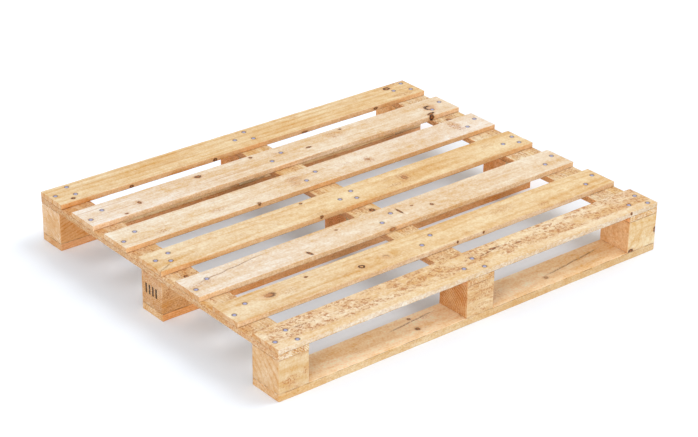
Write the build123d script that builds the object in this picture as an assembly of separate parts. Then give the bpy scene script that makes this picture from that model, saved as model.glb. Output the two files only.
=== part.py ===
"""Four-way block pallet of sawn pine, 1200 x 1000 mm, nailed together.

From the floor up it has three bottom boards along X, nine blocks, three stringer boards
along Y and seven deck boards along X. Long nails hold each block from above and below.
Where a deck board crosses a stringer between two blocks, short nails go through both and
are clinched: their points are bent over flat under the stringer.

The frame is X along the deck boards, Y across them and Z up, with the origin on the floor
under the middle of the pallet. All sizes are in millimetres.
"""

import os

from build123d import *

# ---- Overall size and the thickness of each layer
LENGTH = 1200.0
WIDTH = 1000.0
BOTTOM_THICK = 20.0
BLOCK_HEIGHT = 86.0
STRINGER_THICK = 15.0
DECK_THICK = 14.0

# ---- Board widths. The front row and the right column are cut from wider stock.
DECK_WIDTH = 98.0
NARROW = 86.0
WIDE = 98.0
ARRIS = 1.0  # worn-off sharp edge of sawn timber

# ---- Levels
BLOCK_FOOT = BOTTOM_THICK
STRINGER_FOOT = BLOCK_FOOT + BLOCK_HEIGHT
DECK_FOOT = STRINGER_FOOT + STRINGER_THICK
DECK_TOP = DECK_FOOT + DECK_THICK

# ---- Plan layout: middle line and width of each row, column and deck board
ROWS = {  # along X, by Y
    "front": (-WIDTH / 2 + WIDE / 2, WIDE),
    "middle": (0.0, NARROW),
    "back": (WIDTH / 2 - NARROW / 2, NARROW),
}
COLUMNS = {  # along Y, by X
    "left": (-LENGTH / 2 + NARROW / 2, NARROW),
    "centre": (0.0, NARROW),
    "right": (LENGTH / 2 - WIDE / 2, WIDE),
}
OUTER_DECK_Y = WIDTH / 2 - DECK_WIDTH / 2
DECK_Y = (-OUTER_DECK_Y, -299.0, -148.5, 6.0, 156.0, 303.5, OUTER_DECK_Y)  # hand-spaced

# ---- Nails
HEAD_RADIUS = 4.4
HEAD_THICK = 1.2
HEAD_CONE = 0.8  # taper from the head into the shank
HEAD_SINK = 0.3  # heads are driven this far below the timber's face
POINT_LENGTH = 5.0
POINT_TIP_RADIUS = 0.3
BLOCK_NAIL = {"shank": 1.55, "length": 70.0}
BOTTOM_NAIL = {"shank": 1.4, "length": 50.0}
CLINCH_NAIL = {"shank": 1.25, "bend": 2.6, "leg": 9.0}
CLINCH_GAP = 0.05  # a bent point springs back this far from the timber

# ---- Nailing patterns: (x, y) from where a nail column crosses a board's middle line
NAIL_COLUMN_X = {"left": -558.5, "centre": 0.0, "right": 555.5}
PAIR = ((25.0, 14.0), (-25.0, -14.0))
TRIO = ((25.0, 23.0), (-25.0, -5.0), (22.0, -25.0))
TRIO_SHIFT_Y = {"front": -10.0, "back": 10.0}
MIDDLE_TRIO = {  # the middle deck board is nailed a little differently at each column
    "left": ((26.0, 21.5), (-19.5, 7.0), (9.5, -15.0)),
    "centre": ((26.0, 18.5), (-25.5, -2.5), (14.0, -21.0)),
    "right": ((25.5, 13.5), (-25.5, -7.0), (17.0, -24.0)),
}
BLOCKED_DECKS = {0: "front", 3: "middle", 6: "back"}  # deck boards that lie over blocks


def timber(x_size, y_size, z_size, middle, foot):
    """A sawn piece with softened edges, from its size, plan middle and lowest level."""
    block = Box(x_size, y_size, z_size)
    block = chamfer(block.edges(), ARRIS)
    return Pos(middle[0], middle[1], foot + z_size / 2) * block


def straight_nail(shank, length, extra=0.0):
    """A nail pointing down, its head's top at the origin. extra carries the head upwards,
    which makes the tool that also cuts the dimple above a sunk head."""
    profile = Polyline(
        (0, extra),
        (HEAD_RADIUS, extra),
        (HEAD_RADIUS, -HEAD_THICK),
        (shank, -HEAD_THICK - HEAD_CONE),
        (shank, -length + POINT_LENGTH),
        (POINT_TIP_RADIUS, -length),
        (0, -length),
        close=True,
    )
    return revolve(Plane.XZ * make_face(profile), Axis.Z)


def clinched_nail(shank, bend, leg, grip, side, extra=0.0):
    """A nail through timber grip thick, its point bent flat beneath, towards +X or -X."""
    head_profile = Polyline(
        (0, extra),
        (HEAD_RADIUS, extra),
        (HEAD_RADIUS, -HEAD_THICK),
        (shank, -HEAD_THICK - HEAD_CONE),
        (0, -HEAD_THICK - HEAD_CONE),
        close=True,
    )
    head = revolve(Plane.XZ * make_face(head_profile), Axis.Z)
    start = -HEAD_THICK - HEAD_CONE
    low = -grip - shank
    wire = FilletPolyline((0, 0, start), (0, 0, low), (side * leg, 0, low), radius=bend)
    rod = sweep(Pos(0, 0, start) * Circle(shank), path=wire)
    tip = Cone(shank, POINT_TIP_RADIUS, POINT_LENGTH / 2)
    tip = Pos(side * (leg + POINT_LENGTH / 4), 0, low) * Rot(0, 90 * side, 0) * tip
    return head + rod + tip


def placed(shape, x, y, z, up=True):
    """The shape with its head at x, y, z: driven from above, or from below if not up."""
    return Pos(x, y, z) * (shape if up else Rot(180, 0, 0) * shape)


def deck_pattern(index, column):
    """(dx, dy) of the nails where one deck board crosses one nail column."""
    row = BLOCKED_DECKS.get(index)
    if row is None:
        return PAIR
    if row == "middle":
        return MIDDLE_TRIO[column]
    return [(dx, dy + TRIO_SHIFT_Y[row]) for dx, dy in TRIO]


def deck_nails(index, extra=0.0):
    """The nails of one deck board, long ones into blocks or short clinched ones."""
    grip = DECK_THICK + STRINGER_THICK - HEAD_SINK + CLINCH_GAP
    made = []
    for column, x in NAIL_COLUMN_X.items():
        for dx, dy in deck_pattern(index, column):
            if index in BLOCKED_DECKS:
                nail = straight_nail(extra=extra, **BLOCK_NAIL)
            else:
                inward = -1 if dx > 0 else 1
                nail = clinched_nail(grip=grip, side=inward, extra=extra, **CLINCH_NAIL)
            made.append(placed(nail, x + dx, DECK_Y[index] + dy, DECK_TOP - HEAD_SINK))
    return made


def bottom_nails(row, extra=0.0):
    """The nails driven up through one bottom board into its three blocks."""
    middle = ROWS[row][0]
    nail = straight_nail(extra=extra, **BOTTOM_NAIL)
    return [
        placed(nail, x - dx, middle + dy, HEAD_SINK, up=False)
        for x in NAIL_COLUMN_X.values()
        for dx, dy in TRIO
    ]


def nailed(piece, tools):
    """The piece with a hole for every nail tool whose box reaches into its own box."""
    own = piece.bounding_box()
    meets = [
        tool
        for tool, box in tools
        if box.min.X < own.max.X
        and box.max.X > own.min.X
        and box.min.Y < own.max.Y
        and box.max.Y > own.min.Y
        and box.min.Z < own.max.Z
        and box.max.Z > own.min.Z
    ]
    return piece - meets


def timbers():
    """Every piece of wood by name, before it is nailed."""
    made = {}
    for row, (y, wide) in ROWS.items():
        made[f"bottom_board_{row}"] = timber(LENGTH, wide, BOTTOM_THICK, (0, y), 0)
        for column, (x, deep) in COLUMNS.items():
            name = f"block_{row}_{column}"
            made[name] = timber(deep, wide, BLOCK_HEIGHT, (x, y), BLOCK_FOOT)
    for column, (x, wide) in COLUMNS.items():
        name = f"stringer_board_{column}"
        made[name] = timber(wide, WIDTH, STRINGER_THICK, (x, 0), STRINGER_FOOT)
    for i, y in enumerate(DECK_Y):
        name = f"deck_board_{i + 1}"
        made[name] = timber(LENGTH, DECK_WIDTH, DECK_THICK, (0, y), DECK_FOOT)
    return made


def main():
    os.makedirs("parts", exist_ok=True)
    nails, tools = {}, []
    for i in range(len(DECK_Y)):
        nails[f"deck_nails_{i + 1}"] = deck_nails(i)
        tools += deck_nails(i, extra=2 * HEAD_SINK)
    for row in ROWS:
        nails[f"bottom_nails_{row}"] = bottom_nails(row)
        tools += bottom_nails(row, extra=2 * HEAD_SINK)
    tools = [(tool, tool.bounding_box()) for tool in tools]
    for name, piece in timbers().items():
        export_step(nailed(piece, tools), f"parts/{name}.step")
    for name, group in nails.items():
        export_step(Compound(children=group), f"parts/{name}.step")


main()
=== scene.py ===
"""The looks of a nailed block pallet of sawn pine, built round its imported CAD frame.

Every timber is a closed mesh with worn arrises, a wavy sawn surface, drying cracks and a
dimple round each nail head. Its pine is one solid texture: growth rings round a pith line,
which show as long grain on the faces and as arcs on the ends, with knots pushing the rings
aside. A timber has a frame of its own in millimetres: u along the fibres, v across its main
face and w out of that face, all from its middle. The nails are remade with domed heads and
ringed shanks where the CAD has them.
"""

import math
from itertools import product

import bpy
import numpy as np
from mathutils import Matrix, Quaternion, Vector


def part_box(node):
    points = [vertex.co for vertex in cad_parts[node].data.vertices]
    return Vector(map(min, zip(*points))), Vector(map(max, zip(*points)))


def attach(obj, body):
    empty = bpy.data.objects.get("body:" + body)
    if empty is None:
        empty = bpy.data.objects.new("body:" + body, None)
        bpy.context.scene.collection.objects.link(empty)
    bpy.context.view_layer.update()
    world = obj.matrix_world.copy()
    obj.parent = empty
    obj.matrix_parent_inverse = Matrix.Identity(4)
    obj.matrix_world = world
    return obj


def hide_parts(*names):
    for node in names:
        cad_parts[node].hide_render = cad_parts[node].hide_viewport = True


MM = 0.001

# ---- Camera: where it stands, where it looks and its lens
CAMERA_PLACE = (-2.8691, -3.5291, 2.3657)
CAMERA_AIM = (0.0097, 0.0098, 0.0669)
CAMERA_ROLL = 0.6642
CAMERA_LENS = 103.249

# ---- Light and floor
SKY_LOW = 1.06
SKY_HIGH = 0.83
SKY_FALL = 2.0
LAMPS = {  # place, width and power of the soft lamps
    "key": ((4.2, -1.9, 8.0), 4.8, 265.0),
    "fill": ((-4.0, -3.0, 1.1), 2.4, 89.0),
}
FLOOR_SIZE = 60.0
FLOOR_COLOUR = (0.87, 0.92, 0.99)
# Painted shade: a greyer, bluer floor colour beneath the pallet, where its shadow falls
FLOOR_UNDER_SHADE = (0.80, 0.872, 0.972)  # beneath the pallet
FLOOR_GLOW = 0.03
# Painted light: the floor glows more behind the pallet, lifting the pallet's shade there
FLOOR_GLOW_FAR = 0.14  # behind the pallet and far from it

# ---- Pine tints, as seen on a screen in 0 to 255
PINK_CREAM = (241, 219, 193)
CREAM = (241, 218, 186)
PEACH = (239, 213, 179)
BUTTER = (237, 207, 164)
YELLOW = (238, 206, 159)
HONEY = (236, 201, 150)
TAN = (230, 186, 134)
TINT_TO_ALBEDO = 0.85

# ---- How strongly the wood's tone swings, and what a swing does to red, green and blue
TONE = (0.28, 0.7, 1.34)
GRIT = 0.8
MOTTLE = 0.75
CLOUD = 1.2
FIBRE = 0.28
LATE_DEPTH = 0.62
END_ROUGHER = 0.3

# ---- Marks in the pine
# The sawn sides' and ends' tints are partly painted light and shade: set warmer, lighter or darker
# to stand in for how light falls on those faces
SIDE_FACE = (230, 186, 136)
END_FACE = (222, 181, 135)
SPECKLE = (186, 116, 60)
SPECKLE_DARK = 0.85
BLOTCH = (214, 156, 100)
BLOTCH_DARK = 0.45
KNOT_HEART = (188, 110, 50)
KNOT_RIM = (66, 30, 12)
KNOT_HALO = (220, 158, 98)
CRACK = (128, 62, 26)
STREAK = (206, 146, 88)
# The nail stain is partly painted shade: darker wood round each nail head and its dimple
NAIL_STAIN_AND_SHADE = (98, 64, 50)
INK = (48, 32, 24)
# Painted contact shade, partly dirt: a dark line along sawn edges that lie against other timbers
SEAM_SHADE_AND_DIRT = (112, 60, 28)
SEAM_SHADE_WIDTH = 1.9
SEAM_SHADE_DARK = 0.9

# ---- Mesh spacing and surface, in millimetres
ARRIS_LINES = (0.0, 0.4, 0.9, 1.6, 2.6, 4.2)
ARRIS_BAND = 6.0
BOARD_STEPS = (4.0, 2.6, 3.0)
BLOCK_STEPS = (2.4, 2.4, 2.4)
LINE_GAP = 0.35
NAIL_LINES = (-8.5, -6.5, -5.2, -4.2, -2.0, 0.0, 2.0, 4.2, 5.2, 6.5, 8.5)
WEAR_LEAST = 0.7
WEAR_SPREAD = 1.9
WAVE_DEPTH = 0.22
FIBRE_DEPTH = 0.09
END_DEPTH = 0.35

# ---- Nails, in millimetres, as the CAD has them
HEAD_RADIUS = 4.4
HEAD_THICK = 1.2
HEAD_CONE = 0.8
SHANK_RADIUS = {"deck": 1.55, "bottom": 1.4, "clinched": 1.25}
NAIL_LENGTH = {"deck": 70.0, "bottom": 50.0}
POINT_LENGTH = 5.0
RING_PITCH = 2.4
RING_DEPTH = 0.12
CLINCH_BEND = 2.6
CLINCH_LEG = 11.5
NAIL_SIDES = 20
DIMPLE_DEPTH = 0.85
DIMPLE_INNER = 3.6
DIMPLE_OUTER = 8.5
# How far the nail stain and painted shade round each head stays full, and how dark it is
STAIN_SHADE_INNER = 4.8
STAIN_SHADE_DARK = 0.85
CLINCH_GRIP = 29.0  # the thickness of the wood that a clinched nail goes through


def tint(colour, factor=TINT_TO_ALBEDO):
    """A screen colour in 0 to 255 as a linear colour with alpha."""
    parts = [c / 255 for c in colour]
    linear = [c / 12.92 if c <= 0.04045 else ((c + 0.055) / 1.055) ** 2.4 for c in parts]
    return (*(factor * c for c in linear), 1.0)


# ---------------------------------------------------------------- noise for shapes


def lattice_noise(points, seed):
    """Smooth noise from 0 to 1 at each row of points, one cell to a unit."""
    cell = np.floor(points).astype(np.int64)
    blend = points - cell
    blend = blend * blend * (3 - 2 * blend)
    total = np.zeros(len(points))
    for corner in product((0, 1), repeat=3):
        key = (cell + corner) @ np.array((73856093, 19349663, 83492791)) + seed * 7919
        key = ((key ^ (key >> 13)) * 1274126177) & 0xFFFFFFFF
        key ^= key >> 16
        weight = np.prod(np.where(corner, blend, 1 - blend), axis=1)
        total += weight * (key & 0xFFFF) / 0xFFFF
    return total


def smooth(x, low, high):
    """0 at low, 1 at high and an even curve between them."""
    t = np.clip((x - low) / (high - low), 0, 1)
    return t * t * (3 - 2 * t)


# ---------------------------------------------------------------- timbers


class Timber:
    """One piece of wood: its CAD node, how its frame lies, and what grows in it."""

    def __init__(self, node, seed, lie, seams, **look):
        low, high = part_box(node)
        self.node, self.seed, self.seams, self.look = node, seed, seams, look
        self.centre = (low + high) / 2
        turn = {"x": (0, 0, 0), "y": (0, 0, -90), "block": (-90, 0, 0)}[lie]
        self.turn = [math.radians(a) for a in turn]
        self.to_local = Matrix.Rotation(self.turn[0], 3, "X") @ Matrix.Rotation(
            self.turn[2], 3, "Z"
        )
        size = self.to_local @ (high - low)
        self.half = np.array([abs(s) for s in size]) / MM / 2

    def local(self, point):
        """A point in metres in the object's frame, in this timber's own."""
        return np.array(self.to_local @ (Vector(point) - self.centre)) / MM

    def world(self, points):
        """Rows of this timber's own millimetres as metres in the object's frame."""
        turned = points @ np.array(self.to_local)
        return turned * MM + np.array(self.centre)


def lines(half, step, extra=()):
    """Where the mesh lines run between -half and half: close together along the arris
    and at every extra place, and about a step apart elsewhere."""
    inner_half = half - ARRIS_BAND
    count = max(2, round(2 * inner_half / step) + 1)
    places = [e - half for e in ARRIS_LINES] + [half - e for e in ARRIS_LINES]
    places += [e for e in extra if abs(e) < inner_half]
    fixed = np.array(sorted(places))
    spare = np.linspace(-inner_half, inner_half, count)
    gap = step * LINE_GAP
    spare = [s for s in spare if np.min(np.abs(fixed - s)) > gap]
    merged = sorted([*fixed, *spare])
    kept = [merged[0]]
    for place in merged[1:-1]:
        if place - kept[-1] > 0.35 and merged[-1] - place > 0.35:
            kept.append(place)
    return np.array([*kept, merged[-1]])


def shell(counts):
    """The surface of a grid of counts points each way: index triples and quads."""
    index = -np.ones(counts, dtype=np.int64)
    grid = np.stack(np.meshgrid(*[np.arange(c) for c in counts], indexing="ij"), axis=-1)
    outer = np.any((grid == 0) | (grid == np.array(counts) - 1), axis=-1)
    index[outer] = np.arange(outer.sum())
    quads = []
    for axis in range(3):
        for end in (0, -1):
            face = np.take(index, end, axis=axis)
            a, b, c, d = face[:-1, :-1], face[1:, :-1], face[1:, 1:], face[:-1, 1:]
            ring = (a, b, c, d) if (end == -1) != (axis == 1) else (d, c, b, a)
            quads.append(np.stack(ring, axis=-1).reshape(-1, 4))
    return grid[outer], np.concatenate(quads)


def crack_path(crack, u, seed):
    """Where a crack runs across v at each u, and how open it is there from 0 to 1."""
    (u0, v0), (u1, v1) = crack["start"], crack["end"]
    along = np.clip((u - u0) / (u1 - u0), 0, 1)
    wander = lattice_noise(np.stack([u / 26, u * 0, u * 0], axis=1), seed) - 0.5
    path = v0 + (v1 - v0) * along + crack.get("wander", 3.0) * wander
    fade = 0.25 * (u1 - u0)
    open_start = 1.0 if crack.get("split") == "start" else smooth(u, u0, u0 + fade)
    open_end = 1.0 if crack.get("split") == "end" else smooth(-u, -u1, -u1 + fade)
    inside = (u > u0 - 1) & (u < u1 + 1)
    return path, open_start * open_end * inside


def timber_mesh(timber, heads):
    """The closed mesh of one timber in its own frame, with wear and crack values and the
    nail stain with its painted shade.
    """
    half, seed = timber.half, timber.seed
    steps = timber.look.get("steps", BOARD_STEPS)
    cracks = timber.look.get("cracks", ())
    u_lines = lines(half[0], steps[0], [h[0] + d for h in heads for d in NAIL_LINES])
    v_lines = lines(half[1], steps[1], [h[1] + d for h in heads for d in NAIL_LINES])
    w_lines = lines(half[2], steps[2])
    ids, quads = shell((len(u_lines), len(v_lines), len(w_lines)))
    u, v, w = u_lines[ids[:, 0]], v_lines[ids[:, 1]].copy(), w_lines[ids[:, 2]].copy()
    cut = np.zeros(len(u))
    used = {0, len(v_lines) - 1}
    for number, crack in enumerate(cracks):
        path, opened = crack_path(crack, u, seed + 50 + number)
        middle = (crack["start"][1] + crack["end"][1]) / 2
        order = np.argsort(np.abs(v_lines - middle))
        column = next(c for c in order if not {c - 1, c, c + 1} & used)
        used |= {column - 1, column, column + 1}
        width = crack["width"] / 2 * np.maximum(opened, 0.15)
        blend = smooth(u, crack["start"][0] - 25, crack["start"][0]) * smooth(
            -u, -crack["end"][0] - 25, -crack["end"][0]
        )
        anchors = v_lines[[0, column - 1, column, column + 1, -1]]
        targets = (-half[1], path - width, path, path + width, half[1])
        warped = v.copy()
        for k in range(4):
            inside = (v_lines[ids[:, 1]] >= anchors[k]) & (v_lines[ids[:, 1]] <= anchors[k + 1])
            t = (v_lines[ids[:, 1]] - anchors[k]) / (anchors[k + 1] - anchors[k])
            low = np.broadcast_to(targets[k], len(u))
            high = np.broadcast_to(targets[k + 1], len(u))
            warped = np.where(inside, low + (high - low) * t, warped)
        v = v + (warped - v_lines[ids[:, 1]]) * blend
        on_line = ids[:, 1] == column
        depth = crack["depth"] * opened * on_line
        w = w - depth * (w + half[2]) / (2 * half[2])
        beside = np.abs(ids[:, 1] - column) == 1
        faint = crack.get("dark", 0.55)
        cut = np.maximum(cut, opened * faint * (on_line + 0.5 * beside))
    points = np.stack([u, v, w], axis=1)
    wear = WEAR_LEAST + WEAR_SPREAD * lattice_noise(points / (38, 60, 60), seed) ** 2
    for chip in timber.look.get("chips", ()):
        place, reach, size = np.array(chip["at"]), chip["reach"], chip["size"]
        away = np.linalg.norm((points - place) / (reach, reach / 2, reach / 2), axis=1)
        ragged = 0.6 + 0.8 * lattice_noise(points / 3.1, seed + 5)
        wear += size * np.exp(-(away**2)) * ragged
    inner = np.clip(points, -half + wear[:, None], half - wear[:, None])
    outward = points - inner
    reach = np.linalg.norm(outward, axis=1)
    outward = outward / np.maximum(reach, 1e-6)[:, None]
    wave = WAVE_DEPTH * lattice_noise(points / (75, 21, 21), seed + 1)
    fibre = FIBRE_DEPTH * lattice_noise(points / (15, 2.9, 2.9), seed + 2)
    sawn_end = np.abs(outward[:, 0]) ** 2
    rough_end = END_DEPTH * lattice_noise(points / (9, 3.3, 3.3), seed + 3) * sawn_end
    relief = wave + fibre + rough_end
    on_skin = reach > 1e-6
    shaped = np.where(
        on_skin[:, None],
        inner + outward * np.minimum(reach, wear)[:, None] - outward * relief[:, None],
        points,
    )
    # Nail stain and painted shade: darker wood round each nail head
    stain = np.zeros(len(points))
    for nail_u, nail_v, face in heads:
        away = np.hypot(points[:, 0] - nail_u, points[:, 1] - nail_v)
        on_face = np.abs(points[:, 2] - face * half[2]) < 0.05
        dimple = DIMPLE_DEPTH * (1 - smooth(away, DIMPLE_INNER, DIMPLE_OUTER))
        shaped[:, 2] -= face * dimple * on_face
        stain = np.maximum(stain, on_face * (1 - smooth(away, STAIN_SHADE_INNER, DIMPLE_OUTER)))
    worn = np.clip(np.sum(np.abs(points - shaped), axis=1) - relief, 0, 3) / 3
    return shaped, quads, {"worn": worn, "cut": cut, "stain": stain}


def mesh_object(name, points, quads, values=None):
    """A smooth-shaded mesh object from rows of metres and rows of corners."""
    mesh = bpy.data.meshes.new(name)
    mesh.vertices.add(len(points))
    mesh.vertices.foreach_set("co", np.asarray(points, np.float32).ravel())
    mesh.loops.add(quads.size)
    mesh.loops.foreach_set("vertex_index", quads.ravel().astype(np.int32))
    mesh.polygons.add(len(quads))
    mesh.polygons.foreach_set("loop_start", np.arange(0, quads.size, 4, dtype=np.int32))
    mesh.polygons.foreach_set("use_smooth", np.ones(len(quads), bool))
    for key, data in (values or {}).items():
        layer = mesh.attributes.new(key, "FLOAT", "POINT")
        layer.data.foreach_set("value", np.asarray(data, np.float32))
    mesh.update(calc_edges=True)
    mesh.validate()
    piece = bpy.data.objects.new(name, mesh)
    bpy.context.scene.collection.objects.link(piece)
    return piece


# ---------------------------------------------------------------- materials


class Nodes:
    """Short ways to add shader nodes to one material and to join them up."""

    def __init__(self, name):
        self.material = bpy.data.materials.new(name)
        self.material.use_nodes = True
        self.tree = self.material.node_tree
        self.tree.nodes.clear()

    def feed(self, socket, value):
        if isinstance(value, bpy.types.NodeSocket):
            self.tree.links.new(value, socket)
        else:
            socket.default_value = value

    def add(self, kind, values=(), **settings):
        """A node, its settings, and values for its inputs by name or by number."""
        node = self.tree.nodes.new("ShaderNode" + kind)
        for key, value in settings.items():
            setattr(node, key, value)
        for key, value in dict(values).items():
            self.feed(node.inputs[key], value)
        return node

    def math(self, operation, *values, clamp=False):
        node = self.add("Math", enumerate(values), operation=operation, use_clamp=clamp)
        return node.outputs[0]

    def vector(self, operation, *values):
        node = self.add("VectorMath", operation=operation)
        sockets = [socket for socket in node.inputs if socket.enabled]
        for socket, value in zip(sockets, values):
            self.feed(socket, value)
        return next(socket for socket in node.outputs if socket.enabled)

    def ramp(self, value, low, high, to_low=0.0, to_high=1.0):
        """value eased from to_low at low to to_high at high."""
        values = {0: value, 1: low, 2: high, 3: to_low, 4: to_high}
        node = self.add("MapRange", values, interpolation_type="SMOOTHSTEP")
        return node.outputs[0]

    def noise(self, place, stretch, seed, detail=2.0, rough=0.5):
        """Noise from 0 to 1 whose grains are stretch millimetres long each way."""
        shift = (seed * 3.7, seed * 5.3, seed * 7.9)
        moved = self.vector("MULTIPLY_ADD", place, tuple(1 / s for s in stretch), shift)
        values = {"Vector": moved, "Scale": 1.0, "Detail": detail, "Roughness": rough}
        return self.add("TexNoise", values).outputs[0]

    def mix(self, share, first, second, way="MIX"):
        node = self.add("Mix", data_type="RGBA", blend_type=way, clamp_factor=True)
        self.feed(node.inputs[0], share)
        self.feed(node.inputs[6], first)
        self.feed(node.inputs[7], second)
        return node.outputs[2]


def distance(n, mark, place, wander):
    """How far each point is from a mark's middle, where 1 is the mark's own edge, and
    the way it lies from there."""
    at = (*mark["at"], mark.get("level", 0.0))
    reach = (*mark["size"], mark.get("depth", 400.0))
    off = n.vector("DIVIDE", n.vector("SUBTRACT", place, at), reach)
    if "slant" in mark:
        u, v, w = n.add("SeparateXYZ", {0: off}).outputs
        v = n.math("MULTIPLY_ADD", u, mark["slant"], v)
        off = n.add("CombineXYZ", {0: u, 1: v, 2: w}).outputs[0]
    return n.math("ADD", n.vector("LENGTH", off), wander), off


class Pine:
    """The solid texture of one timber. Each part of it is a method that adds nodes."""

    def __init__(self, timber):
        self.look, self.half, self.seed = timber.look, timber.half, timber.seed
        self.seams = timber.seams
        n = self.n = Nodes(timber.node + "_pine")
        matrix = timber.to_local
        shift = matrix @ timber.centre
        mapping = {
            "Vector": n.add("TexCoord").outputs["Object"],
            "Location": tuple(-s / MM for s in shift),
            "Rotation": tuple(timber.turn),
            "Scale": (1 / MM,) * 3,
        }
        self.place = n.add("Mapping", mapping).outputs[0]
        self.u, self.v, self.w = n.add("SeparateXYZ", {0: self.place}).outputs
        normal = n.add("NewGeometry").outputs["Normal"]
        along, across, _ = (tuple(row) for row in matrix)
        self.ends = n.ramp(n.math("ABSOLUTE", n.vector("DOT_PRODUCT", normal, along)), 0.45, 0.8)
        self.sides = n.ramp(n.math("ABSOLUTE", n.vector("DOT_PRODUCT", normal, across)), 0.45, 0.8)
        self.fine = self.noise((8, 4, 4), 3, 2.0)
        self.ragged = self.centred(self.noise((4.5, 2.6, 2.6), 17, 2.0, 0.6), 1.3)

    def noise(self, stretch, salt, detail=2.0, rough=0.5):
        return self.n.noise(self.place, stretch, self.seed + salt, detail, rough)

    def centred(self, value, weight):
        """A noise moved to swing evenly round nought."""
        return self.n.math("MULTIPLY", self.n.math("SUBTRACT", value, 0.5), weight)

    def total(self, *values):
        out = values[0]
        for value in values[1:]:
            out = self.n.math("ADD", out, value)
        return out

    def late_wood(self, knots):
        """The darker late wood of rings that wander along the pith and round knots."""
        n, look = self.n, self.look
        swing = self.centred(self.noise((430, 75, 75), 1, 1.0), look.get("swing", 26.0))
        lean = self.centred(self.noise((500, 90, 90), 12, 0.0), 26.0)
        ripple = self.centred(self.noise((95, 15, 15), 2), look.get("ripple", 5.0))
        pith_v, pith_w = look["pith"]
        ring_v = self.total(self.v, swing, ripple, -pith_v)
        ring_w = self.total(n.math("MULTIPLY_ADD", self.u, look["taper"], self.w), lean, -pith_w)
        squares = self.total(n.math("POWER", ring_v, 2.0), n.math("POWER", ring_w, 2.0))
        radius = n.math("SQRT", squares)
        for knot, far, _ in knots:
            radius = n.math("ADD", radius, n.ramp(far, 3.4, 0.4, 0.0, knot.get("push", 6.0)))
        phase = n.math("FRACT", n.math("DIVIDE", radius, look["spacing"]))
        late = n.math("MULTIPLY", n.ramp(phase, 0.4, 0.88), n.ramp(phase, 1.0, 0.93))
        fading = self.noise((160, 22, 22), 4, 1.0)
        strength = n.ramp(fading, 0.3, 0.7, 0.35 * look["contrast"], look["contrast"])
        strength = n.math("MULTIPLY_ADD", self.ends, look.get("end_rings", 0.4), strength)
        return n.math("MULTIPLY", late, strength)

    def tints(self):
        """The wood's colour, which drifts along it, with warmer tints on the sawn sides and its
        own tints on the ends. The side and end tints are partly painted light and shade, set
        face by face lighter, darker or warmer to stand in for the light those faces get.
        """
        n, look = self.n, self.look
        first, middle, last = (tint(t) for t in look["tints"])
        along = self.total(self.u, self.centred(self.noise((180, 60, 60), 13), 500.0))
        colour = n.mix(n.ramp(along, -0.7 * self.half[0], 0.0), first, middle)
        colour = n.mix(n.ramp(along, 0.0, 0.7 * self.half[0]), colour, last)
        side, end = tint(look.get("side", SIDE_FACE)), tint(look.get("end", END_FACE))
        colour = n.mix(self.sides, colour, side)
        return n.mix(self.ends, colour, end)

    def tone(self, late):
        """Lighter and darker wood round nought: clouds, mottle, grit, fibres and rings."""
        rough = self.look.get("rough", 1.0)
        end_share = self.n.math("MULTIPLY_ADD", self.ends, END_ROUGHER, 1.0)
        grit = self.total(
            self.centred(self.noise((5.0, 4.6, 4.0), 10, 1.0), GRIT * rough),
            self.centred(self.noise((24, 18, 14), 11, 2.0), MOTTLE * rough),
        )
        return self.total(
            self.n.math("MULTIPLY", grit, end_share),
            self.centred(self.noise((280, 55, 55), 5, 2.0), CLOUD),
            self.centred(self.noise((130, 3.4, 3.4), 6), FIBRE),
            self.n.math("MULTIPLY", late, -LATE_DEPTH),
            LATE_DEPTH * 0.25 * self.look["contrast"],
        )

    def torn(self, speck):
        """How much torn, browned fibre there is: soft blotches and sharp specks."""
        n, look = self.n, self.look
        torn = look.get("torn", 0.25)
        patch = self.noise((64, 24, 24), 9, 2.0, 0.6)
        patches = n.ramp(patch, 0.66 - 0.3 * torn, 0.8 - 0.3 * torn, 0.0, 0.25 + 0.75 * torn)
        if "torn_from" in look:
            edge = look["torn_from"]
            patches = n.math("MULTIPLY", patches, n.ramp(self.v, edge - 6, edge))
        for faces, share in ((self.ends, "end_torn"), (self.sides, "side_torn")):
            torn_face = n.math("MULTIPLY", faces, look.get(share, 0.3))
            patches = n.math("MAXIMUM", patches, torn_face)
        for smudge in look.get("smudges", ()):
            far, _ = distance(n, smudge, self.place, self.ragged)
            patches = n.math("MAXIMUM", patches, n.ramp(far, 1.3, 0.4, 0.0, smudge["dark"]))
        blotch = self.noise((16, 11, 8), 14, 2.0, 0.6)
        blotches = n.math("MULTIPLY", n.ramp(blotch, 0.42, 0.58), patches)
        specks = n.math("MULTIPLY", n.ramp(speck, 0.5, 0.58), patches)
        return blotches, specks

    def knots(self, colour, knots, speck):
        """The colour with knots in it, and how deep their dark rims are."""
        n, dent = self.n, 0.0
        for knot, far, off in knots:
            dark = knot.get("dark", 0.5)
            body = n.ramp(far, 1.1, 0.85, 0.0, knot.get("heart", 0.3 + 0.65 * dark))
            rim = n.math("MULTIPLY", n.ramp(far, 0.45, 0.75), n.ramp(far, 1.4, 1.1))
            rim = n.math("MULTIPLY", rim, n.ramp(speck, 0.32, 0.44, 0.45 * dark, dark))
            if "arc" in knot:
                lit = n.vector("DOT_PRODUCT", off, (*knot["arc"], 0.0))
                rim = n.math("MULTIPLY", rim, n.ramp(lit, -0.5, 0.5, 0.1, 1.0))
            halo = n.ramp(far, 2.6, 0.9, 0.0, 0.25 + 0.35 * dark)
            rings = n.math("FRACT", n.math("MULTIPLY", far, 3.3))
            shade = n.ramp(rings, 0.2, 0.9, 0.0, 0.6 * dark)
            colour = n.mix(halo, colour, tint(KNOT_HALO))
            colour = n.mix(body, colour, n.mix(shade, tint(KNOT_HEART), tint(KNOT_RIM)))
            colour = n.mix(rim, colour, tint(KNOT_RIM))
            dent = n.math("ADD", rim, dent)
        return colour, dent

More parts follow.
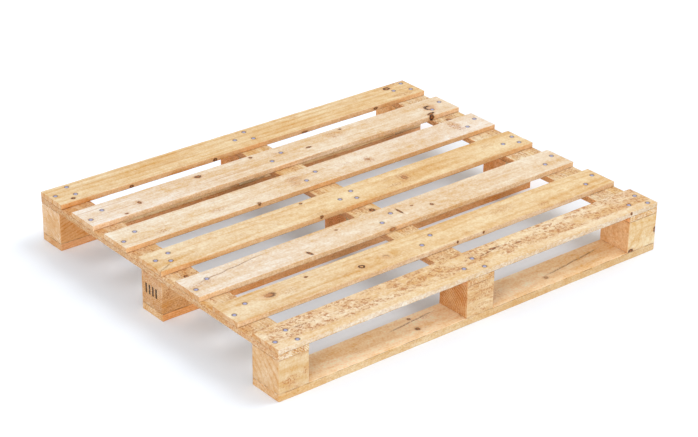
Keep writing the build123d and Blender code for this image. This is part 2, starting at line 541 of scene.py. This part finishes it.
    def seam_shade_and_dirt(self):
        """Painted contact shade, partly dirt: the dark line along each sawn edge that lies against
        another timber.
        """
        n = self.n
        out = 0.0
        for axis, sign in self.seams:
            level = n.math("MULTIPLY", (self.u, self.v, self.w)[axis], float(sign))
            edge = self.half[axis]
            near = n.ramp(level, edge - SEAM_SHADE_WIDTH, edge - 0.3 * SEAM_SHADE_WIDTH)
            out = n.math("MAXIMUM", near, out)
        if (1, 1) in self.seams:
            faces = n.math("SUBTRACT", 1.0, self.sides)
        else:
            faces = n.math("MAXIMUM", self.ends, self.sides)
        broken = n.ramp(self.noise((30, 14, 14), 15), 0.38, 0.62, 0.1, 1.0)
        return n.math("MULTIPLY", n.math("MULTIPLY", out, faces), broken)

    def material(self):
        n, look = self.n, self.look
        marks = look.get("knots", ())
        knots = [(knot, *distance(n, knot, self.place, self.ragged)) for knot in marks]
        late = self.late_wood(knots)
        tone = self.n.vector("SCALE", TONE, self.tone(late))
        factor = n.vector("MAXIMUM", n.vector("ADD", tone, (1.0, 1.0, 1.0)), (0.2, 0.2, 0.1))
        colour = n.vector("MULTIPLY", self.tints(), factor)

        # Resin streaks and torn fibres
        streak = n.ramp(self.noise((260, 3.6, 3.6), 7), 0.58, 0.74, 0.0, look.get("streaks", 0.3))
        colour = n.mix(streak, colour, tint(STREAK))
        size = look.get("speck", 1.0)
        speck = self.noise((4.6 * size, 4.6 * size, 3.4 * size), 8, 3.0, 0.7)
        blotches, specks = self.torn(speck)
        colour = n.mix(n.math("MULTIPLY", blotches, BLOTCH_DARK), colour, tint(BLOTCH))
        colour = n.mix(n.math("MULTIPLY", specks, SPECKLE_DARK), colour, tint(SPECKLE))
        colour, knot_dent = self.knots(colour, knots, speck)

        # Rubbed arrises, lightened as wear and as a painted highlight; seams darkened as painted
        # contact shade and dirt; cracks; nail stains, partly painted shade
        worn = n.add("Attribute", attribute_name="worn").outputs["Fac"]
        rubbed_and_highlight = n.math("MULTIPLY", n.ramp(worn, 0.1, 0.7), n.ramp(self.fine, 0.35, 0.6, 0.1, 0.6))
        colour = n.mix(rubbed_and_highlight, colour, tint(CREAM))
        colour = n.mix(n.math("MULTIPLY", self.seam_shade_and_dirt(), SEAM_SHADE_DARK), colour, tint(SEAM_SHADE_AND_DIRT))
        cut = n.add("Attribute", attribute_name="cut").outputs["Fac"]
        cut = n.math("MULTIPLY", cut, n.ramp(speck, 0.38, 0.52, 0.2, 1.0))
        colour = n.mix(cut, colour, tint(CRACK))
        stain = n.add("Attribute", attribute_name="stain").outputs["Fac"]
        colour = n.mix(n.math("MULTIPLY", stain, STAIN_SHADE_DARK), colour, tint(NAIL_STAIN_AND_SHADE))
        if "stamp" in look:
            share = stamp_share(n, look["stamp"], self.v, self.w, speck)
            colour = n.mix(share, colour, tint(INK))

        # Relief too fine for the mesh, in millimetres
        wave = n.math("SINE", n.math("MULTIPLY", n.math("MULTIPLY_ADD", self.v, 0.18, self.u), 1.1))
        height = self.total(
            n.math("MULTIPLY", self.fine, 0.18),
            n.math("MULTIPLY", self.noise((44, 1.1, 1.1), 16, 3.0), 0.12),
            n.math("MULTIPLY", late, 0.05),
            n.math("MULTIPLY", wave, 0.008 * look.get("saw", 1.0)),
            n.math("MULTIPLY", specks, -0.2),
            n.math("MULTIPLY", knot_dent, -0.4),
        )
        bump = n.add("Bump", {"Strength": 1.0, "Distance": MM, "Height": height})
        sheen = n.math("MULTIPLY", late, 0.1)
        roughness = n.math("SUBTRACT", n.ramp(self.fine, 0.3, 0.7, 0.82, 0.64), sheen)
        values = {"Base Color": colour, "Roughness": roughness, "Normal": bump.outputs[0]}
        shader = n.add("BsdfPrincipled", values)
        shader.inputs["Specular IOR Level"].default_value = 0.25
        n.add("OutputMaterial", {"Surface": shader.outputs[0]})
        return n.material


def stamp_share(n, stamp, v, w, speck):
    """Where a plain burnt mark of upright bars shows on a block's sawn end."""
    share = 0.0
    for middle, wide, tall in stamp["bars"]:
        off_w = n.math("ABSOLUTE", n.math("SUBTRACT", w, middle))
        off_v = n.math("ABSOLUTE", n.math("SUBTRACT", v, stamp["level"]))
        across = n.ramp(off_w, wide / 2 + 0.5, wide / 2 - 0.5)
        bar = n.math("MULTIPLY", across, n.ramp(off_v, tall / 2 + 0.6, tall / 2 - 0.6))
        share = n.math("ADD", bar, share, clamp=True)
    patchy = n.ramp(speck, 0.3, 0.55, 0.65, 0.95)
    return n.math("MULTIPLY", share, patchy)


def zinc():
    """Dull bluish zinc with a mottled spangle, rubbed a little brighter in places."""
    n = Nodes("zinc_coated_steel")
    place = n.add("TexCoord").outputs["Object"]
    place = n.vector("MULTIPLY", place, (1 / MM,) * 3)
    cloud = n.noise(place, (2.2, 2.2, 2.2), 1, 3.0, 0.6)
    grit = n.noise(place, (0.35, 0.35, 0.35), 2, 2.0)
    colour = n.mix(n.ramp(cloud, 0.35, 0.65), tint((140, 143, 184), 1), tint((186, 188, 222), 1))
    roughness = n.ramp(grit, 0.3, 0.7, 0.3, 0.5)
    bump = n.add("Bump", {"Strength": 0.5, "Distance": MM, "Height": n.math("MULTIPLY", grit, 0.05)})
    shader = n.add(
        "BsdfPrincipled",
        {
            "Base Color": colour,
            "Metallic": 0.55,
            "Roughness": roughness,
            "Normal": bump.outputs[0],
        },
    )
    n.add("OutputMaterial", {"Surface": shader.outputs[0]})
    return n.material


# ---------------------------------------------------------------- nails


def nail_heads(node):
    """Each nail of a CAD nail group: head centre in metres, the way it points along Z,
    and which way along X its point is bent, or 0."""
    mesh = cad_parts[node].data
    points = np.array([v.co for v in mesh.vertices])
    points_down = node.startswith("deck")
    level = points[:, 2].max() if points_down else points[:, 2].min()
    rim = points[np.abs(points[:, 2] - level) < 0.05 * MM]
    centres = []
    for point in rim:
        group = [c for c in centres if np.hypot(*(np.mean(c, axis=0) - point)[:2]) < 10 * MM]
        if group:
            group[0].append(point)
        else:
            centres.append([point])
    found = []
    for group in centres:
        middle = (np.min(group, axis=0) + np.max(group, axis=0)) / 2
        near = points[np.hypot(*(points[:, :2] - middle[:2]).T) < 16 * MM]
        spread = near[:, 0].max() + near[:, 0].min() - 2 * middle[0]
        bend = 0 if abs(spread) < 2 * MM else int(math.copysign(1, spread))
        found.append((middle, -1 if points_down else 1, bend))
    return found


def nail_profile(kind):
    """(distance from the top of the head, radius) down one nail, in millimetres."""
    shank = SHANK_RADIUS[kind]
    neck = HEAD_THICK + HEAD_CONE
    length = NAIL_LENGTH.get(kind, CLINCH_GRIP + CLINCH_LEG + POINT_LENGTH / 2)
    profile = [(0.0, 0.01), (0.0, 1.2), (0.03, 2.4), (0.10, 3.4), (0.24, 4.0), (0.5, 4.35)]
    profile += [(0.8, HEAD_RADIUS), (HEAD_THICK, HEAD_RADIUS - 0.15), (HEAD_THICK + 0.1, 2.6)]
    profile += [(neck, shank + 0.1), (neck + 2.0, shank)]
    tip = POINT_LENGTH
    if kind == "clinched":
        tip = POINT_LENGTH / 2
        profile += [(s, shank) for s in np.linspace(8.0, length - tip, 23, endpoint=False)]
    place = neck + 6.0
    while place < length - POINT_LENGTH - RING_PITCH and kind != "clinched":
        profile += [(place, shank), (place + 0.55 * RING_PITCH, shank - RING_DEPTH)]
        place += RING_PITCH
    profile += [(length - tip, shank), (length - 0.3, 0.35), (length, 0.02)]
    return profile


def nail_mesh(kind, bend, grip):
    """Points and quads of one nail pointing down from the origin, in millimetres."""
    angles = np.linspace(0, 2 * math.pi, NAIL_SIDES, endpoint=False)
    straight = grip + SHANK_RADIUS["clinched"] - CLINCH_BEND
    arc = CLINCH_BEND * math.pi / 2
    rows = []
    for s, radius in nail_profile(kind):
        turn, x, z = 0.0, 0.0, -s
        if bend and s > straight:
            turn = min(s - straight, arc) / CLINCH_BEND
            over = max(0.0, s - straight - arc)
            x = CLINCH_BEND * (1 - math.cos(turn)) + over
            z = -straight - CLINCH_BEND * math.sin(turn)
        ring_x = x + radius * np.cos(angles) * math.cos(turn)
        ring_z = z + radius * np.cos(angles) * math.sin(turn)
        side = bend if bend else 1
        rows.append(np.stack([side * ring_x, side * radius * np.sin(angles), ring_z], axis=1))
    count = len(rows)
    i, j = np.meshgrid(np.arange(count - 1), np.arange(NAIL_SIDES), indexing="ij")
    k = (j + 1) % NAIL_SIDES
    here, below = i * NAIL_SIDES, (i + 1) * NAIL_SIDES
    wall = np.stack((here + j, below + j, below + k, here + k), axis=-1).reshape(-1, 4)
    i = np.arange(NAIL_SIDES // 2 - 1)
    cap = np.stack((i, i + 1, NAIL_SIDES - 2 - i, NAIL_SIDES - 1 - i), axis=-1)
    tip = cap[:, ::-1] + (count - 1) * NAIL_SIDES
    return np.concatenate(rows), np.concatenate((wall, cap, tip))


def make_nails(node, material):
    """All the nails of one CAD group as one piece that stands for it."""
    points, quads, base = [], [], 0
    low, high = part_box(node)
    for number, (middle, way, bend) in enumerate(nail_heads(node)):
        kind = "clinched" if bend else "deck" if way < 0 else "bottom"
        grip = (high.z - low.z) / MM - 2 * SHANK_RADIUS["clinched"]
        nail, faces = nail_mesh(kind, bend, grip)
        spin = 0.0 if bend else 2.4 * number
        turned = nail.copy()
        turned[:, 0] = nail[:, 0] * math.cos(spin) - nail[:, 1] * math.sin(spin)
        turned[:, 1] = nail[:, 0] * math.sin(spin) + nail[:, 1] * math.cos(spin)
        if way > 0:
            turned[:, 1:] *= -1
        points.append(turned * MM + middle)
        quads.append(faces + base)
        base += len(nail)
    piece = mesh_object(node + "_zinc", np.concatenate(points), np.concatenate(quads))
    piece.data.materials.append(material)
    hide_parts(node)
    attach(piece, "root")


# ---------------------------------------------------------------- what grows where
#
# Places and sizes are millimetres in the timber's own frame.
#   tints: the main faces' colour at the start, the middle and the far end; side and end:
#       the colour of the sawn sides and ends. Side and end tints, and the tints of timbers in
#       deep shade, are partly painted light and shade, set face by face for the light each face
#       gets. A tint may pass 255 on a timber in deep shade, as painted light lifting that shade.
#   pith, taper, spacing: where the rings' middle line runs, how fast it rises, ring width
#   contrast, swing, ripple, end_rings: how strong the rings are and how far they wander
#   torn, torn_from, side_torn, end_torn, speck: how much fibre is torn, where, how coarse
#   rough, streaks, saw: how mottled the wood is, its resin streaks, the saw's fine ripples
#   knots, smudges, cracks, chips, stamp: single marks; level is a mark's height along w
#       for a knot and along v for the stamp

DECKS = {
    "deck_board_1": dict(
        tints=((240, 211, 170), (240, 210, 165), (240, 211, 170)),
        side=(237, 217, 187), end=(213, 173, 128), pith=(30, -85), taper=0.012,
        spacing=14.0, contrast=0.25, torn=0.9, torn_from=-22, speck=1.45, saw=1.6,
        smudges=[
            dict(at=(234, -15), size=(34, 9), dark=1.0),
            dict(at=(-350, 18), size=(34, 22), dark=1.0),
            dict(at=(-372, -22), size=(26, 8), dark=0.9),
            dict(at=(-570, 2), size=(20, 16), dark=0.8),
        ],
        knots=[
            dict(at=(506, -49), size=(3, 2), level=3, depth=3, dark=0.9),
            dict(at=(98, 20), size=(9, 3), dark=0.8, slant=0.3),
            dict(at=(168, 6), size=(8, 3), dark=0.5),
        ],
        cracks=[
            dict(start=(-522, 10), end=(-472, 9), width=3.6, depth=1.8, dark=0.9),
            dict(start=(38, 8), end=(140, 22), width=3.4, depth=1.8, dark=0.9),
        ],
    ),
    "deck_board_2": dict(
        tints=((234, 202, 157), HONEY, HONEY), side=(245, 213, 172), end=(210, 165, 118),
        pith=(-6, -46), taper=0.02, spacing=11.0, contrast=0.55, torn=0.25, swing=44,
        smudges=[
            dict(at=(-416, -2), size=(26, 14), dark=0.55),
            dict(at=(262, 12), size=(46, 20), dark=0.5),
            dict(at=(366, -30), size=(20, 10), dark=0.9),
        ],
        knots=[
            dict(at=(-466, 11), size=(14, 9), dark=0.65, heart=0.6, push=14, arc=(0.8, -0.4)),
            dict(at=(-346, 29), size=(4, 3), dark=0.9),
            dict(at=(-210, -11), size=(7.5, 6.5), dark=1.0, heart=0.1, push=12),
            dict(at=(-132, -7), size=(8, 7), dark=0.35, heart=0.1, push=10, arc=(0.7, 0.7)),
            dict(at=(60, -49), size=(2.5, 2), level=2, depth=3, dark=0.9),
            dict(at=(145, -49), size=(2.5, 2), level=2, depth=3, dark=0.9),
        ],
    ),
    "deck_board_3": dict(
        tints=((239, 216, 188), (237, 209, 173), (237, 209, 173)),
        side=(246, 207, 160), end=(212, 167, 120), pith=(70, -70), taper=0.006,
        spacing=12.0, contrast=0.2, torn=0.2,
        smudges=[dict(at=(-560, 0), size=(40, 12), dark=0.5)],
        knots=[
            dict(at=(-266, -33), size=(4, 7), dark=0.9, slant=0.6),
            dict(at=(140, -11), size=(4, 5), dark=0.7),
            dict(at=(50, 10), size=(2.5, 13), dark=0.9),
            dict(at=(-140, 24), size=(4, 3), dark=0.5),
            dict(at=(94, 14), size=(4, 2.5), dark=0.6),
            dict(at=(-20, -49), size=(9, 5), level=1, depth=5, dark=0.4),
        ],
        cracks=[dict(start=(-592, 5), end=(-330, 36), width=2.8, depth=1.8, dark=0.8, wander=6)],
    ),
    "deck_board_4": dict(
        tints=(BUTTER, HONEY, HONEY), side=(242, 193, 137),
        pith=(-10, -38), taper=0.03, spacing=15.0, contrast=0.5, torn=0.2, swing=44,
        smudges=[
            dict(at=(186, -2), size=(20, 26), dark=0.9),
            dict(at=(140, -22), size=(36, 8), dark=0.8),
            dict(at=(-110, -38), size=(40, 10), dark=0.5),
        ],
        knots=[
            dict(at=(186, -4), size=(7, 9), dark=0.3, push=14),
            dict(at=(-120, 38), size=(4, 3), dark=0.8),
            dict(at=(-120, -49), size=(4, 3), level=4, depth=4, dark=0.8),
        ],
        cracks=[dict(start=(-600, -46), end=(-556, -24), width=2.6, depth=3.0, split="start")],
    ),
    "deck_board_5": dict(
        tints=(CREAM, PEACH, PINK_CREAM), side=(242, 193, 138), pith=(-60, -60), taper=0.008,
        spacing=8.0, contrast=0.2, torn=0.25,
        smudges=[
            dict(at=(-478, -26), size=(22, 8), dark=0.9),
            dict(at=(-300, -14), size=(30, 10), dark=0.5),
            dict(at=(-50, 16), size=(24, 10), dark=0.8),
            dict(at=(-60, -16), size=(18, 14), dark=0.7),
            dict(at=(182, -14), size=(16, 22), dark=0.8),
            dict(at=(506, 10), size=(16, 40), dark=1.0),
            dict(at=(110, 6), size=(24, 8), dark=0.5),
        ],
        knots=[
            dict(at=(-46, 2), size=(16, 10), dark=0.1, heart=0.1, push=14),
            dict(at=(182, -10), size=(5, 6), dark=0.3, push=9),
            dict(at=(-200, -46), size=(5, 4), level=5, depth=5, dark=0.6),
        ],
    ),
    "deck_board_6": dict(
        tints=(PINK_CREAM, PEACH, PEACH), side=(251, 211, 165), pith=(50, -64), taper=0.01,
        spacing=9.0, contrast=0.25, torn=0.15, streaks=0.5,
        smudges=[
            dict(at=(210, 20), size=(30, 26), dark=0.5),
            dict(at=(-440, -8), size=(14, 14), dark=0.6),
        ],
        knots=[
            dict(at=(-234, 26), size=(8, 6), dark=0.8),
            dict(at=(-436, -7), size=(4, 6), dark=0.7),
            dict(at=(104, -4), size=(7, 3.5), dark=0.8),
            dict(at=(-58, 37), size=(4, 4), dark=0.9),
            dict(at=(243, 37), size=(4, 3), dark=0.8),
            dict(at=(530, -1), size=(12, 12), dark=1.0, heart=0.1, push=12, arc=(-0.8, 0.6)),
            dict(at=(508, -34), size=(11, 4), dark=1.0, slant=-0.4),
            dict(at=(500, -47), size=(8, 6), level=3, depth=7, dark=1.0, slant=-0.5),
            dict(at=(-495, -40), size=(4, 3), dark=0.7),
        ],
    ),
    "deck_board_7": dict(
        tints=(YELLOW, HONEY, HONEY), side=(239, 185, 128), pith=(120, -30), taper=0.004,
        spacing=19.0, contrast=0.6, torn=0.2, swing=34, ripple=6.0, streaks=0.5,
        smudges=[
            dict(at=(560, 44), size=(60, 10), dark=0.9),
            dict(at=(540, -30), size=(40, 12), dark=0.7),
            dict(at=(190, 28), size=(20, 6), dark=0.5),
        ],
        knots=[
            dict(at=(522, 27), size=(9, 7), dark=1.0, heart=0.5, push=8),
            dict(at=(-554, -33), size=(5, 4), dark=0.9),
            dict(at=(-390, -49), size=(5, 2), level=-3, depth=4, dark=0.8),
            dict(at=(-128, -49), size=(5, 2), level=-2, depth=4, dark=0.9),
            dict(at=(420, -49), size=(6, 2), level=0, depth=3, dark=0.8),
            dict(at=(170, -49), size=(9, 2), level=-4, depth=3, dark=0.6),
        ],
    ),
}

STRINGERS = {
    "stringer_board_left": dict(
        tints=((232, 196, 148), (232, 196, 148), (226, 181, 132)),
        side=(215, 180, 137), end=(235, 211, 175), pith=(20, -60), taper=0.01, spacing=5.0,
        contrast=0.6, torn=0.9, rough=1.3, end_torn=0.1, side_torn=0.9, speck=1.3,
        chips=[
            dict(at=(-180, 43, 7.5), reach=14, size=5),
            dict(at=(320, 43, 7.5), reach=10, size=3),
            *(
                dict(at=(u, -43, 7.5), reach=9, size=3.2)
                for u in (-420, -345, -212, -105, 92, 228, 352)
            ),
            *(
                dict(at=(u, -43, -7.5), reach=11, size=3.6)
                for u in (-380, -250, -150, 40, 170, 300, 390)
            ),
        ],
        smudges=[dict(at=(-74, -10), size=(24, 30), dark=1.0)],
        knots=[dict(at=(-76, -6), size=(6, 5), dark=0.8)],
    ),
    "stringer_board_centre": dict(
        tints=(HONEY, HONEY, HONEY), side=(230, 170, 119), end=(231, 196, 150),
        pith=(-25, -55), taper=0.012, spacing=4.6, contrast=0.6, torn=0.8, rough=1.2, speck=1.2,
        knots=[
            dict(at=(-72, -18), size=(8, 6), dark=0.8),
            dict(at=(440, 20), size=(9, 7), dark=0.6),
        ],
    ),
    "stringer_board_right": dict(
        tints=((240, 213, 170),) * 3, side=(251, 181, 118), end=(239, 208, 166),
        pith=(35, -70), taper=0.008, spacing=5.2, contrast=0.55,
        torn=0.8, rough=1.3, end_torn=0.1, speck=1.2,
        knots=[dict(at=(230, 10), size=(8, 7), dark=0.5)],
    ),
}

BOTTOMS = {
    "bottom_board_front": dict(
        # Painted light: this board's top tint passes 255 to lift the shade under the first deck
        # board
        tints=((271, 240, 196),) * 3, side=(232, 200, 151), end=(222, 182, 136),
        pith=(20, -60), taper=0.012, spacing=9.0, contrast=0.25, torn=0.2, streaks=0.1,
        smudges=[dict(at=(60, 0), size=(60, 30), dark=0.5)],
        knots=[
            dict(at=(-490, 10), size=(4, 4), dark=0.6),
            dict(at=(-165, -14), size=(5, 5), dark=0.7),
            dict(at=(-152, 34), size=(4, 4), dark=0.5),
            dict(at=(96, 22), size=(4, 4), dark=0.4),
            dict(at=(250, -16), size=(5, 5), dark=0.3),
        ],
        cracks=[
            dict(start=(-250, 14), end=(-60, 30), width=3.6, depth=3.0, dark=0.85),
            dict(start=(230, -12), end=(490, 22), width=3.4, depth=2.5, dark=0.8),
        ],
    ),
    "bottom_board_middle": dict(
        tints=(YELLOW, YELLOW, HONEY), side=(246, 180, 119), end=(229, 189, 141),
        pith=(-30, -50), taper=0.01, spacing=5.0, contrast=0.6, torn=0.5,
        knots=[
            dict(at=(-260, 8), size=(9, 7), dark=0.6),
            dict(at=(330, -12), size=(8, 6), dark=0.6),
        ],
    ),
    "bottom_board_back": dict(
        tints=(HONEY, HONEY, HONEY), side=(236, 172, 117), end=(224, 175, 124),
        pith=(30, -50), taper=0.01, spacing=5.0, contrast=0.6, torn=0.6,
        knots=[
            dict(at=(-120, 14), size=(9, 7), dark=0.8),
            dict(at=(250, 0), size=(10, 6), dark=0.7),
        ],
    ),
}

# A block's main face, w, looks to the front of the pallet, and v is up
# The end tints of the centre and right-hand blocks are partly painted light: set for the deep shade
# on their inner left ends, some past 255; their right ends, which face out, show the same tint
BLOCKS = {
    "block_front_left": dict(
        tints=((227, 196, 151),) * 3, end=(218, 180, 135), pith=(-60, -80), taper=0.1,
        spacing=19.0, contrast=0.4, torn=0.3, end_rings=0.2, end_torn=0.2, rough=0.8, speck=1.3,
        smudges=[
            dict(at=(-10, -18), size=(26, 14), dark=1.0),
            dict(at=(34, -6), size=(9, 12), dark=1.0),
        ],
    ),
    "block_front_centre": dict(
        tints=((229, 191, 140),) * 3, end=(221, 169, 117), pith=(-52, -60), taper=0.05,
        spacing=7.0, contrast=0.4, torn=0.8, end_rings=1.1, end_torn=0.1,
    ),
    "block_front_right": dict(
        tints=((238, 207, 159),) * 3, end=(237, 184, 129), pith=(10, -30), taper=0.6, spacing=14.0,
        contrast=0.35, torn=0.2, end_rings=-0.45, end_torn=0.3,
        knots=[
            dict(at=(-38, -40), size=(7, 5), level=46, depth=8, dark=0.9),
            dict(at=(46, -4), size=(4, 7), level=47, depth=6, dark=0.8),
        ],
    ),
    "block_middle_left": dict(
        tints=((232, 180, 124),) * 3, end=(213, 173, 131), pith=(60, -40), taper=0.1, spacing=4.4,
        contrast=0.5, torn=0.8,
        stamp=dict(level=2.0, bars=[(-24, 7, 26), (-10, 7, 26), (4, 7, 26), (18, 7, 26)]),
    ),
    "block_middle_centre": dict(
        tints=(HONEY, HONEY, TAN), end=(250, 171, 111), pith=(-30, 40), taper=0.1, spacing=4.4,
        contrast=0.6, torn=0.6,
    ),
    "block_middle_right": dict(
        tints=(TAN, TAN, HONEY), end=(277, 204, 138), pith=(40, 40), taper=0.1, spacing=4.6,
        contrast=0.6, torn=0.5,
    ),
    "block_back_left": dict(
        tints=((228, 168, 107),) * 3, end=(234, 199, 159), pith=(70, -70), taper=0.15, spacing=4.6,
        contrast=0.7, torn=0.4,
    ),
    "block_back_centre": dict(
        tints=(HONEY, HONEY, TAN), end=(250, 178, 114), pith=(-40, 30), taper=0.1, spacing=4.4,
        contrast=0.7, torn=0.5,
    ),
    "block_back_right": dict(
        tints=(TAN, TAN, TAN), end=(281, 220, 152), pith=(50, 30), taper=0.12, spacing=4.6,
        contrast=0.6, torn=0.5,
    ),
}

# Looks, how the timbers lie, their slot, and the faces that lie against other timbers and
# show a dark seam of painted contact shade and dirt, each as an axis of the timber's own
# frame and the side of it
GROUPS = (
    (DECKS, "x", "deck_pine", ((2, -1),)),
    (STRINGERS, "y", "stringer_pine", ()),
    (BOTTOMS, "x", "bottom_pine", ((2, 1),)),
    (BLOCKS, "block", "block_pine", ((1, 1), (1, -1))),
)


def make_timber(node, number, lie, slot, seams, look, nails):
    """One timber as a detailed piece that stands for its CAD node."""
    if lie == "block":
        look = dict(look, steps=BLOCK_STEPS)
    timber = Timber(node, number + 1, lie, seams, **look)
    heads = []
    for middle, way, _ in nails:
        place = timber.local(middle)
        face = -way
        sunk = abs(place[2] - face * timber.half[2]) < 1
        if lie == "x" and sunk and abs(place[1]) < timber.half[1]:
            heads.append((place[0], place[1], face))
    points, quads, marks = timber_mesh(timber, heads)
    piece = mesh_object(node + "_sawn", timber.world(points), quads, marks)
    piece.data.materials.append(Pine(timber).material())
    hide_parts(node)
    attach(piece, "root")


# ---------------------------------------------------------------- stage


def make_camera():
    """The camera, with its small roll."""
    data = bpy.data.cameras.new("camera")
    data.lens = CAMERA_LENS
    data.clip_end = 200
    camera = bpy.data.objects.new("camera", data)
    look = (Vector(CAMERA_AIM) - Vector(CAMERA_PLACE)).to_track_quat("-Z", "Y")
    camera.rotation_mode = "QUATERNION"
    camera.rotation_quaternion = look @ Quaternion((0, 0, 1), math.radians(CAMERA_ROLL))
    camera.location = CAMERA_PLACE
    bpy.context.scene.collection.objects.link(camera)
    bpy.context.scene.camera = camera


def make_floor():
    """A plain pale floor that glows a little, like the top of a light table. It is greyer
    beneath the pallet as painted shade, and glows more behind it, as painted light that lifts
    the pallet's shade there, and far from it."""
    n = Nodes("plain_floor")
    place = n.add("TexCoord").outputs["Object"]
    x, y, _ = n.add("SeparateXYZ", {0: place}).outputs
    within_x = n.ramp(n.math("ABSOLUTE", x), 0.62, 0.42)
    within_y = n.ramp(n.math("ABSOLUTE", y), 0.52, 0.4)
    # Painted shade: the greyer floor colour beneath the pallet
    colour = n.mix(n.math("MULTIPLY", within_x, within_y), (*FLOOR_COLOUR, 1), (*FLOOR_UNDER_SHADE, 1))
    far = n.ramp(n.vector("LENGTH", place), 1.4, 3.0)
    # Painted light: more glow behind the pallet lifts its shade there
    far = n.math("MAXIMUM", far, n.ramp(y, 0.46, 0.6))
    glow = n.math("MULTIPLY_ADD", far, FLOOR_GLOW_FAR - FLOOR_GLOW, FLOOR_GLOW)
    values = {"Base Color": colour, "Roughness": 0.9}
    values |= {"Emission Color": (1, 1, 1, 1), "Emission Strength": glow}
    shader = n.add("BsdfPrincipled", values)
    shader.inputs["Specular IOR Level"].default_value = 0.1
    n.add("OutputMaterial", {"Surface": shader.outputs[0]})
    corners = np.array([(-1, -1, 0), (1, -1, 0), (1, 1, 0), (-1, 1, 0)]) * FLOOR_SIZE / 2
    floor = mesh_object("floor", corners, np.array([[0, 1, 2, 3]]))
    floor.data.materials.append(n.material)


def make_lights():
    """A white sky, brighter low down, a soft key lamp and a low fill lamp in front."""
    world = bpy.data.worlds.new("studio")
    bpy.context.scene.world = world
    world.use_nodes = True
    tree = world.node_tree
    split = tree.nodes.new("ShaderNodeSeparateXYZ")
    tree.links.new(tree.nodes.new("ShaderNodeTexCoord").outputs["Generated"], split.inputs[0])
    depth = tree.nodes.new("ShaderNodeMath")
    depth.operation = "SUBTRACT"
    depth.use_clamp = True
    depth.inputs[0].default_value = 1.0
    tree.links.new(split.outputs["Z"], depth.inputs[1])
    fall = tree.nodes.new("ShaderNodeMath")
    fall.operation = "POWER"
    fall.inputs[1].default_value = SKY_FALL
    tree.links.new(depth.outputs[0], fall.inputs[0])
    blend = tree.nodes.new("ShaderNodeMapRange")
    blend.inputs["To Min"].default_value = SKY_HIGH
    blend.inputs["To Max"].default_value = SKY_LOW
    tree.links.new(fall.outputs[0], blend.inputs["Value"])
    sky = tree.nodes["Background"]
    sky.inputs["Color"].default_value = (1, 1, 1, 1)
    tree.links.new(blend.outputs[0], sky.inputs["Strength"])
    for name, (place, width, power) in LAMPS.items():
        data = bpy.data.lights.new(name, "AREA")
        data.shape = "DISK"
        data.size = width
        data.energy = power
        lamp = bpy.data.objects.new(name, data)
        lamp.location = place
        lamp.rotation_mode = "QUATERNION"
        lamp.rotation_quaternion = (-Vector(place)).to_track_quat("-Z", "Y")
        bpy.context.scene.collection.objects.link(lamp)


# ---------------------------------------------------------------- the whole scene

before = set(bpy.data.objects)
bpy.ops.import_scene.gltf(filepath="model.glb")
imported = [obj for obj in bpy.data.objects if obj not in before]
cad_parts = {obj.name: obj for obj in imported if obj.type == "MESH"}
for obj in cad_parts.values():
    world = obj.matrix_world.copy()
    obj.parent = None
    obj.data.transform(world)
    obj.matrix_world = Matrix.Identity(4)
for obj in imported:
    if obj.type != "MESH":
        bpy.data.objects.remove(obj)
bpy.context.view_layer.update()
bpy.context.scene.view_settings.view_transform = "Standard"
make_camera()
make_lights()
make_floor()

nail_nodes = [name for name in sorted(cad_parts) if "_nails_" in name]
all_nails = [nail for name in nail_nodes for nail in nail_heads(name)]
zinc_steel = zinc()
for name in nail_nodes:
    make_nails(name, zinc_steel)
number = 0
for looks, lie, slot, seams in GROUPS:
    for name, look in looks.items():
        make_timber(name, number, lie, slot, seams, look, all_nails)
        number += 1
